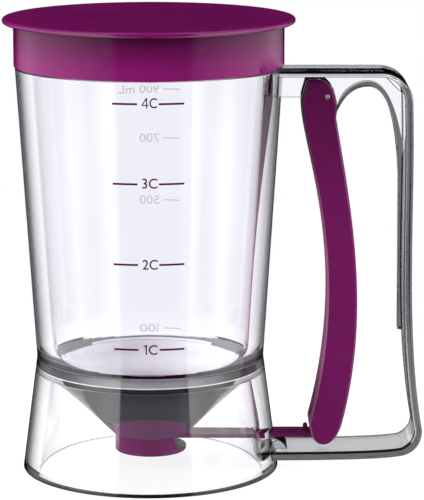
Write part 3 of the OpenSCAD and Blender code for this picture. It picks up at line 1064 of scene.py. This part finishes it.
def build_lever():
    reach = 40
    half = lever_w / 2
    hollow = half - cheek_t
    left = [
        *bend(*lever_points((-0.722, 0), (-0.875, 0.14), (0.861, 0.435), (-0.465, 0.937)), 48),
        *bend(*lever_points((-0.465, 0.937), (-0.431, 0.975), (-0.285, 1), (-0.049, 1)), 14),
    ]
    right = [
        *bend(*lever_points((-0.049, 1), (0.243, 1), (0.424, 0.967), (0.507, 0.937)), 14),
        *bend(*lever_points((0.507, 0.937), (1.347, 0.611), (0.694, 0.308), (0.257, 0.06)), 48),
    ]
    head = [
        *bend(*lever_points((0.257, 0.06), (0.375, -0.01), (0.035, -0.046), (-0.243, -0.048)),
              16),
        *lever_points((-0.521, -0.048), (-0.604, -0.042)),
    ]
    lever = plate("squeeze_lever", left + right + head, -half, half, 1.3, 8)
    # the channel is open towards the grip, and above the wall on both sides
    edge = [p for p in left if p[1] <= lever_wall_top]
    edge.insert(0, (edge[0][0], lever_wall_top))
    channel = [add(p, lever_wall, 0) for p in edge]
    channel = [(pivot_x + reach, lever_wall_top), *channel, (pivot_x + reach, channel[-1][1])]
    combine(lever, "DIFFERENCE",
            plate("channel", channel, -hollow, hollow),
            block(hollow, pivot_x - reach, pivot_x + reach, lever_wall_top - 0.01,
                  handle_top + 5))
    for side in (-1, 1):
        y0, y1 = sorted((side * (hollow - 0.4), side * (hollow + 0.5)))
        combine(lever, "UNION", rod("boss", pivot_x, pivot_z, pin_r + 1.4, y0, y1, 0.1))
    combine(lever, "DIFFERENCE",
            rod("bore", pivot_x, pivot_z, pin_r, -20, 20),
            block(slot_half, tip_left - 8, peg_far + 4, 0, slot_high))
    finish(lever, "lever", LEVER_PURPLE, "lever")
    # painted highlight on the faces that look towards -X, with painted shade towards the top
    paint(lever, (LEVER_SIDE, lambda at, n: n.x < -0.45))


def spring_line():
    """Middle of the wire: the leg that leans on the lever's wall, the coil, the fixed leg."""
    turns = 3
    steps = 36
    moving_leg = 11
    lean = 3.5
    coil_r = spring_high.x - pivot_x - wire_r
    leg_x = pivot_x - coil_r
    near_y, far_y = spring_low.y + wire_r, spring_high.y - wire_r
    line = [Vector((leg_x - lean * (1 - i / 8), far_y, pivot_z - moving_leg * (1 - i / 8)))
            for i in range(8)]
    for i in range(turns * steps + 1):
        a = pi - 2 * pi * i / steps
        line.append(Vector((pivot_x + coil_r * cos(a),
                            mix(far_y, near_y, i / (turns * steps)),
                            pivot_z + coil_r * sin(a))))
    return line + [Vector((leg_x, near_y, mix(pivot_z, spring_high.z, i / 6)))
                   for i in range(1, 7)]


def build_spring():
    """Torsion spring on the hinge pin, whose lower leg follows the lever."""
    sides = 12
    line = spring_line()
    bm = bmesh.new()
    rings = []
    for i, point in enumerate(line):
        ahead = (line[min(i + 1, len(line) - 1)] - line[max(i - 1, 0)]).normalized()
        across = Vector((0, 1, 0)).cross(ahead).normalized()
        out = ahead.cross(across)
        turns = [2 * pi * k / sides for k in range(sides)]
        rings.append([bm.verts.new(point + wire_r * (across * cos(a) + out * sin(a)))
                      for a in turns])
    tube(bm, rings)
    spring = piece_from("torsion_spring", bm)
    smooth(spring)
    coat(spring, STEEL)
    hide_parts("return_spring")
    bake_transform(spring)


# ---- printed marks ----

mark_t = 0.04        # thickness of the ink

# numerals drawn apart: where the text after them starts, and strokes, in shares of their height
NUMERALS = {
    "1": (0.55, [[(0.25, 0), (0.38, 0), (0.38, 1), (0.276, 1), (0.05, 0.86), (0.1, 0.76),
                  (0.25, 0.85)]]),
    "4": (0.73, [[(0.41, 0), (0.52, 0), (0.52, 1), (0.41, 1)],
                 [(0, 0.24), (0.41, 0.24), (0.41, 0.34), (0, 0.34)],
                 [(0.52, 0.24), (0.66, 0.24), (0.66, 0.34), (0.52, 0.34)],
                 [(0, 0.34), (0.12, 0.34), (0.41, 0.82), (0.41, 1), (0.4, 1)]]),
}


def wall_radius(z):
    """Outer radius of the jug's wall at a height."""
    return waist_r + taper * (z - waist_z)


def wrap(piece, azimuth, z):
    """Bends a flat drawing (x along, y up, z out) onto the jug's wall."""
    lift = 0.03
    for vertex in piece.data.vertices:
        x, y, out = vertex.co / MM
        radius = wall_radius(z + y) + lift + out
        a = azimuth + x / wall_radius(z)
        vertex.co = Vector((cos(a) * radius, sin(a) * radius, z + y)) * MM


def flat_bar(x0, x1, half_h, pieces=24):
    """A thin flat bar, split along its length so that it can bend."""
    bm = bmesh.new()
    section = ((-half_h, 0), (half_h, 0), (half_h, mark_t), (-half_h, mark_t))
    tube(bm, [[bm.verts.new((mix(x0, x1, i / pieces), y, z)) for y, z in section]
              for i in range(pieces + 1)])
    return piece_from("line", bm)


def numeral(strokes, height, left):
    """A numeral made of thin plates."""
    bm = bmesh.new()
    for outline in strokes:
        tube(bm, [[bm.verts.new((left + height * x, height * (y - 0.5), z)) for x, y in outline]
                  for z in (0, mark_t)])
    return piece_from("numeral", bm)


def lettering(text, height, start_x, width):
    """Plain text as a thin solid: from start_x, as wide as width, level with the line."""
    cap_share = 0.73     # height of a capital in the font's size
    weight = 0.04
    curve = bpy.data.curves.new("text", "FONT")
    curve.body = text
    curve.size = height * MM / cap_share
    curve.offset = weight * MM
    curve.extrude = mark_t * MM / 2
    curve.resolution_u = 6
    maker = put_in("text", curve)
    bpy.context.view_layer.update()
    mesh = final_mesh(maker)
    bpy.data.objects.remove(maker)
    xs = [v.co.x for v in mesh.vertices]
    ys = [v.co.y for v in mesh.vertices]
    for v in mesh.vertices:
        v.co = Vector((
            start_x * MM + (v.co.x - min(xs)) * width * MM / (max(xs) - min(xs)),
            v.co.y - (min(ys) + max(ys)) / 2,
            v.co.z + mark_t * MM / 2,
        ))
    return put_in("text", mesh)


def join(pieces, name):
    """One object from several."""
    bm = bmesh.new()
    for piece in pieces:
        bm.from_mesh(piece.data)
        remove(piece)
    mesh = bpy.data.meshes.new(name)
    bm.to_mesh(mesh)
    bm.free()
    return put_in(name, mesh)


def mark_set(name, material, azimuth, marks, start_x, text_h, line_w, spans):
    """A column of printed marks: text, raised a little, with a line on each side in spans."""
    parts = []
    for text, z, width, rise in marks:
        row = []
        start = 0
        if text[0] in NUMERALS:
            share, strokes = NUMERALS[text[0]]
            row.append(numeral(strokes, text_h, start_x))
            start = text_h * share
            text = text[1:]
        row.append(lettering(text, text_h, start_x + start, width - start))
        for part in row:
            wrap(part, azimuth, z + rise)
        lines = [flat_bar(x0, x1, line_w / 2) for x0, x1 in spans]
        for line in lines:
            wrap(line, azimuth, z)
        parts += row + lines
    column = join(parts, name)
    coat(column, material)
    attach(column, "jug")


def build_marks():
    """Cups in front and volumes at the back: text, height, width and how far it is raised."""
    cups = [("1C", 60.55, 5.8, 0), ("2C", 95.9, 6.1, 0.1), ("3C", 128.95, 6.1, 0.3),
            ("4C", 161.3, 6.1, 0.4)]
    volumes = [("100", 48.9, 9.4, 0), ("500", 105.4, 9.4, 0), ("700", 132.3, 9.4, 0),
               ("900 mL", 153.4, 19.4, 0)]
    mark_set("cup_marks", CUP_INK, radians(-90 + 0.8), cups, -2.5, 4.2, 0.8,
             [(-14.3, -4.3), (4.2, 14.4)])
    mark_set("ml_marks", ML_INK, radians(90), volumes, -3.5, 3.8, 0.5,
             [(-13.4, -5.3)])


# ---- studio ----

def floor_material():
    """Pale floor: white to the camera and through plastic, with the object's faint shadow."""
    glow = 0.91
    fade_from, fade_to = 0.17, 0.29
    material, tree = new_material("floor")
    grain = spread(tree, noise(tree, 40, 4), 0.15, 0.17)
    shaded = node(tree, "BsdfDiffuse", {"Color": grain})
    lamp = node(tree, "Emission", {"Strength": glow})
    lit = node(tree, "AddShader", {0: shaded.outputs[0], 1: lamp.outputs[0]})
    plain = node(tree, "BsdfDiffuse", {"Color": (0.6, 0.6, 0.6, 1)})
    both = mix_shaders(tree, rays(tree, "Camera", "Transmission"), plain.outputs[0],
                       lit.outputs[0])
    # the floor fades out into the white studio before its rim
    reach = node(tree, "VectorMath", {0: own_place(tree)}, operation="LENGTH")
    fade = step_of(tree, reach.outputs["Value"], fade_from, fade_to)
    gone = node(tree, "BsdfTransparent")
    set_surface(tree, mix_shaders(tree, fade, both, gone.outputs[0]))
    return material


def build_floor():
    radius = 300
    bm = bmesh.new()
    bmesh.ops.create_circle(bm, cap_ends=True, segments=96, radius=radius)
    floor = piece_from("floor", bm)
    floor.location.z = -0.0002
    coat(floor, floor_material())
    floor.visible_glossy = False


def softbox(name, spot, width, height, power):
    """An area lamp that faces the object. Reflections come from the world instead."""
    target = Vector((0.03, 0, 0.09))
    lamp = bpy.data.lights.new(name, "AREA")
    lamp.shape = "RECTANGLE"
    lamp.size = width
    lamp.size_y = height
    lamp.energy = power
    holder = put_in(name, lamp)
    holder.location = spot
    holder.rotation_euler = (target - Vector(spot)).to_track_quat("-Z", "Y").to_euler()
    holder.visible_glossy = False
    holder.visible_transmission = False
    holder.visible_camera = False


def build_world():
    """White studio with black flags at the sides for what is seen through clear plastic."""
    turn = radians(5.4)
    world = bpy.data.worlds.new("studio")
    bpy.context.scene.world = world
    world.use_nodes = True
    tree = world.node_tree
    tree.nodes.clear()
    ray = node(tree, "TexCoord").outputs["Generated"]
    x, y, z = node(tree, "SeparateXYZ", {0: ray}).outputs
    flat = node(tree, "CombineXYZ", {0: x, 1: y}).outputs[0]
    level = node(tree, "VectorMath", {0: flat}, operation="NORMALIZE").outputs[0]
    facing = node(tree, "SeparateXYZ", {0: level}).outputs[1]
    turned = node(tree, "VectorMath", {0: level, 1: (-sin(turn), cos(turn), 0)},
                  operation="DOT_PRODUCT").outputs["Value"]
    # 0 in the middle of the dark opening, 1 behind the object
    behind = range_of(tree, turned, -1, 1)
    # reflections: a dark opening in front, white floor and brighter panels above it
    ground = ramp_of(tree, behind, [
        (0, 0.03), (0.08, 0.05), (0.086, 0.2), (0.134, 0.3), (0.29, 0.6), (0.5, 0.9),
        (0.79, 0.95), (0.9, 0.4), (0.96, 0)])
    panels = ramp_of(tree, behind, [
        (0, 0.02), (0.08, 0.02), (0.086, 3.6), (0.31, 4.6), (0.5, 2.6), (0.75, 1.2),
        (0.86, 0.1), (0.92, 0)])
    low_dim = step_of(tree, z, -0.3, -0.2, 0.5, 1)
    high_dim = step_of(tree, z, 0.08, 0.2, 1, 0.25)      # for level faces
    dimmed = maths(tree, "MULTIPLY", maths(tree, "MULTIPLY", panels, low_dim), high_dim)
    on_ground = maths(tree, "MULTIPLY", step_of(tree, z, -0.27, -0.22),
                      step_of(tree, z, -0.1, 0.02, 1, 0))
    mirrored = mix_colours(tree, on_ground, dimmed, ground)
    # refractions: white behind the object and on the ground, black to the sides and above
    squarely = maths(tree, "ABSOLUTE", facing)
    ends = maths(tree, "MULTIPLY", step_of(tree, squarely, 0.53, 0.65),
                 step_of(tree, facing, -0.87, -0.81, 0.55, 1))
    window = maths(tree, "MAXIMUM", ends, step_of(tree, squarely, 0.2, 0.3, 0.85, 0))
    under_roof = maths(tree, "MULTIPLY", window, step_of(tree, z, 0.5, 0.68, 1, 0))
    white_share = maths(tree, "MAXIMUM", under_roof, step_of(tree, z, -0.66, -0.5, 1, 0))
    seen = mix_colours(tree, range_of(tree, white_share, 0, 1, 0.02, 1), (0, 0, 0, 1),
                       (1, 1, 1.055, 1))
    light = background(tree, (1, 1, 1, 1), 0.5)
    for kind, colour in (("Glossy", mirrored), ("Transmission", seen), ("Camera", (1, 1, 1, 1))):
        light = mix_shaders(tree, rays(tree, kind), light, background(tree, colour, 1))
    node(tree, "OutputWorld", {"Surface": light})


def background(tree, colour, strength):
    return node(tree, "Background", {"Color": colour, "Strength": strength}).outputs[0]


def build_studio():
    build_floor()
    build_world()
    softbox("left_softbox", (-1.15, -0.38, 0.5), 0.6, 0.8, 18)
    softbox("right_softbox", (1.2, -0.35, 0.5), 0.6, 0.8, 15)
    softbox("top_softbox", (0, 0.3, 1.1), 0.8, 0.8, 7)


def build_camera():
    """Camera at the photo's angle, looking slightly down."""
    image_h = 500        # pixels of the photo's long side
    focal_px = 2746
    tilt = 0.19206
    lens = bpy.data.cameras.new("camera")
    lens.sensor_width = 36
    lens.lens = focal_px * lens.sensor_width / image_h
    camera = put_in("camera", lens)
    camera.location = (0.02596, -1.1267, 0.3113)
    camera.rotation_euler = (pi / 2 - tilt, 0, 0)
    bpy.context.scene.camera = camera
    bpy.context.scene.view_settings.view_transform = "Standard"


build_camera()
build_jug()
build_stand()
build_lid()
build_funnel()
build_cap()
build_valve()
build_handle()
build_lever()
build_spring()
build_marks()
coat(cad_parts["outlet_seal"], SILICONE)
coat(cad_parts["lever_pin"], STEEL)
build_studio()
